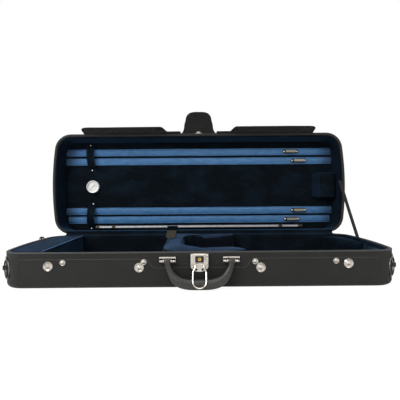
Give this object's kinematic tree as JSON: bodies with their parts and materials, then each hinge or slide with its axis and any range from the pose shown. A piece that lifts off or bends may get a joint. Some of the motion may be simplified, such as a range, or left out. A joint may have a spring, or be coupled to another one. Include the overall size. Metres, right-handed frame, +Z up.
{
  "type": "viola case",
  "caption": "Oblong hard viola case standing open: velvet-lined tub with neck cushion, hinged lid with bow holders, string tube and pocket, carrying handle, draw lock and rain flap.",
  "frame": {"origin": "middle of the flat underside of the base", "axes": "+X along the case towards the instrument's lower end, -Y to the handle and lock, +Y to the hinges, +Z up"},
  "size_m": [0.8, 0.3846, 0.4073],
  "materials": {
    "cover_cloth": "black woven cover cloth",
    "binding": "black edge binding",
    "plywood": "raw plywood",
    "navy_velvet": "navy velvet",
    "blue_velvet": "blue velvet",
    "blue_satin": "blue satin",
    "nickel": "nickel plated",
    "brass": "polished brass",
    "black_metal": "black lacquered",
    "handle_leather": "dark padded leather",
    "black_leather": "black leather",
    "tube_aluminium": "satin",
    "dial_white": "white dial",
    "clear_glass": "clear",
    "needle_black": "black"
  },
  "bodies": {
    "base": {"base_shell": "plywood", "base_cover": "cover_cloth", "bottom_panel": "cover_cloth", "base_rim_binding": "binding", "base_lining": "navy_velvet", "compartment_divider": "navy_velvet", "neck_cushion": "blue_velvet", "end_cushion_rear": "navy_velvet", "end_cushion_front": "navy_velvet", "handle_bracket_left": "nickel", "handle_bracket_right": "nickel", "handle_pin_left": "nickel", "handle_pin_right": "nickel", "lock_plate": "nickel", "ring_chape_left": "black_leather", "ring_chape_right": "black_leather", "hinge_leaf_base": "nickel", "hinge_pin": "nickel", "lid_stay": "cover_cloth"},
    "lid": {"lid_shell": "plywood", "lid_cover": "cover_cloth", "lid_rim_binding": "binding", "lid_lining": "navy_velvet", "bow_band_1": "blue_satin", "bow_band_2": "blue_satin", "bow_band_3": "blue_satin", "bow_band_4": "blue_satin", "frog_loop_lower": "navy_velvet", "frog_loop_upper": "navy_velvet", "spinner_plate_1": "black_metal", "spinner_plate_2": "black_metal", "spinner_plate_3": "black_metal", "spinner_plate_4": "black_metal", "hygrometer_case": "nickel", "hygrometer_dial": "dial_white", "hygrometer_glass": "clear_glass", "tube_clip_left": "black_metal", "tube_clip_right": "black_metal", "lid_pocket": "navy_velvet", "lid_catch": "nickel", "hinge_leaf_lid": "nickel"},
    "handle": {"handle": "handle_leather"},
    "lever": {"lock_lever": "nickel"},
    "key": {"key_barrel": "brass"},
    "bail": {"lock_bail": "nickel"},
    "ring_left": {"carry_ring_left": "nickel"},
    "ring_right": {"carry_ring_right": "nickel"},
    "accessory_lid": {"accessory_lid": "blue_velvet", "pull_tab": "black_leather"},
    "neck_strap": {"neck_strap": "blue_velvet"},
    "spinner_1": {"bow_spinner_1": "black_metal"},
    "spinner_2": {"bow_spinner_2": "black_metal"},
    "spinner_3": {"bow_spinner_3": "black_metal"},
    "spinner_4": {"bow_spinner_4": "black_metal"},
    "needle": {"hygrometer_needle": "needle_black"},
    "tube": {"string_tube": "tube_aluminium"},
    "tube_cap": {"string_tube_cap": "black_metal"},
    "rain_flap": {"rain_flap_left": "cover_cloth", "rain_flap_right": "cover_cloth"},
    "flap_tab": {"flap_tab": "cover_cloth"}
  },
  "joints": [
    {"name": "lid_hinge", "type": "hinge", "parent": "base", "child": "lid", "pos_m": [0, 0.1391, 0.0718], "axis": [-1, 0, 0], "range_deg": [-93, 0], "deforming": ["lid_stay"]},
    {"name": "handle_swing", "type": "hinge", "parent": "base", "child": "handle", "pos_m": [0, -0.145, 0.0543], "axis": [-1, 0, 0], "range_deg": [0, 100]},
    {"name": "lever_lift", "type": "hinge", "parent": "base", "child": "lever", "pos_m": [0, -0.1412, 0.065], "axis": [1, 0, 0], "range_deg": [-100, 0]},
    {"name": "key_turn", "type": "hinge", "parent": "lever", "child": "key", "pos_m": [0, -0.1448, 0.0579], "axis": [0, 1, 0], "range_deg": [0, 90]},
    {"name": "bail_swing", "type": "hinge", "parent": "lever", "child": "bail", "pos_m": [0, -0.1477, 0.0475], "axis": [-1, 0, 0], "range_deg": [0, 120]},
    {"name": "ring_left_swing", "type": "hinge", "parent": "base", "child": "ring_left", "pos_m": [-0.38958, -0.12009, 0.0395], "axis": [0, 0, -1], "range_deg": [0, 150]},
    {"name": "ring_right_swing", "type": "hinge", "parent": "base", "child": "ring_right", "pos_m": [0.38958, -0.12009, 0.0395], "axis": [0, 0, 1], "range_deg": [0, 150]},
    {"name": "accessory_lid_hinge", "type": "hinge", "parent": "base", "child": "accessory_lid", "pos_m": [-0.312, 0, 0.0705], "axis": [0, 1, 0], "range_deg": [0, 100]},
    {"name": "neck_strap_fold", "type": "hinge", "parent": "base", "child": "neck_strap", "pos_m": [-0.0677, 0.008, 0.0797], "axis": [1, 0, 0], "range_deg": [-80, 80]},
    {"name": "bow_spinner_1_turn", "type": "hinge", "parent": "lid", "child": "spinner_1", "pos_m": [0.2637, 0.18524, 0.10773], "axis": [0, -0.9986, 0.0523], "range_deg": [0, 90]},
    {"name": "bow_spinner_2_turn", "type": "hinge", "parent": "lid", "child": "spinner_2", "pos_m": [0.2841, 0.18656, 0.1329], "axis": [0, -0.9986, 0.0523], "range_deg": [0, 90]},
    {"name": "bow_spinner_3_turn", "type": "hinge", "parent": "lid", "child": "spinner_3", "pos_m": [0.2861, 0.19398, 0.2745], "axis": [0, -0.9986, 0.0523], "range_deg": [0, 90]},
    {"name": "bow_spinner_4_turn", "type": "hinge", "parent": "lid", "child": "spinner_4", "pos_m": [0.2634, 0.19535, 0.30057], "axis": [0, -0.9986, 0.0523], "range_deg": [0, 90]},
    {"name": "needle_turn", "type": "hinge", "parent": "lid", "child": "needle", "pos_m": [-0.3034, 0.19165, 0.20323], "axis": [0, -0.9986, 0.0523], "range_deg": [0, 180]},
    {"name": "string_tube_slide", "type": "slide", "parent": "lid", "child": "tube", "axis": [1, 0, 0], "range_m": [0, 0.035]},
    {"name": "tube_cap_pull", "type": "slide", "parent": "tube", "child": "tube_cap", "axis": [1, 0, 0], "range_m": [0, 0.025]},
    {"name": "rain_flap_fold", "type": "hinge", "parent": "lid", "child": "rain_flap", "pos_m": [0, 0.15937, 0.34782], "axis": [1, 0, 0], "range_deg": [-155, 12]},
    {"name": "flap_tab_fold", "type": "hinge", "parent": "lid", "child": "flap_tab", "pos_m": [0, 0.16806, 0.34736], "axis": [1, 0, 0], "range_deg": [-78, 15]}
  ],
  "couplings": [
    {"joint": "bail_swing", "follows": "handle_swing", "ratio": 1.2}
  ]
}
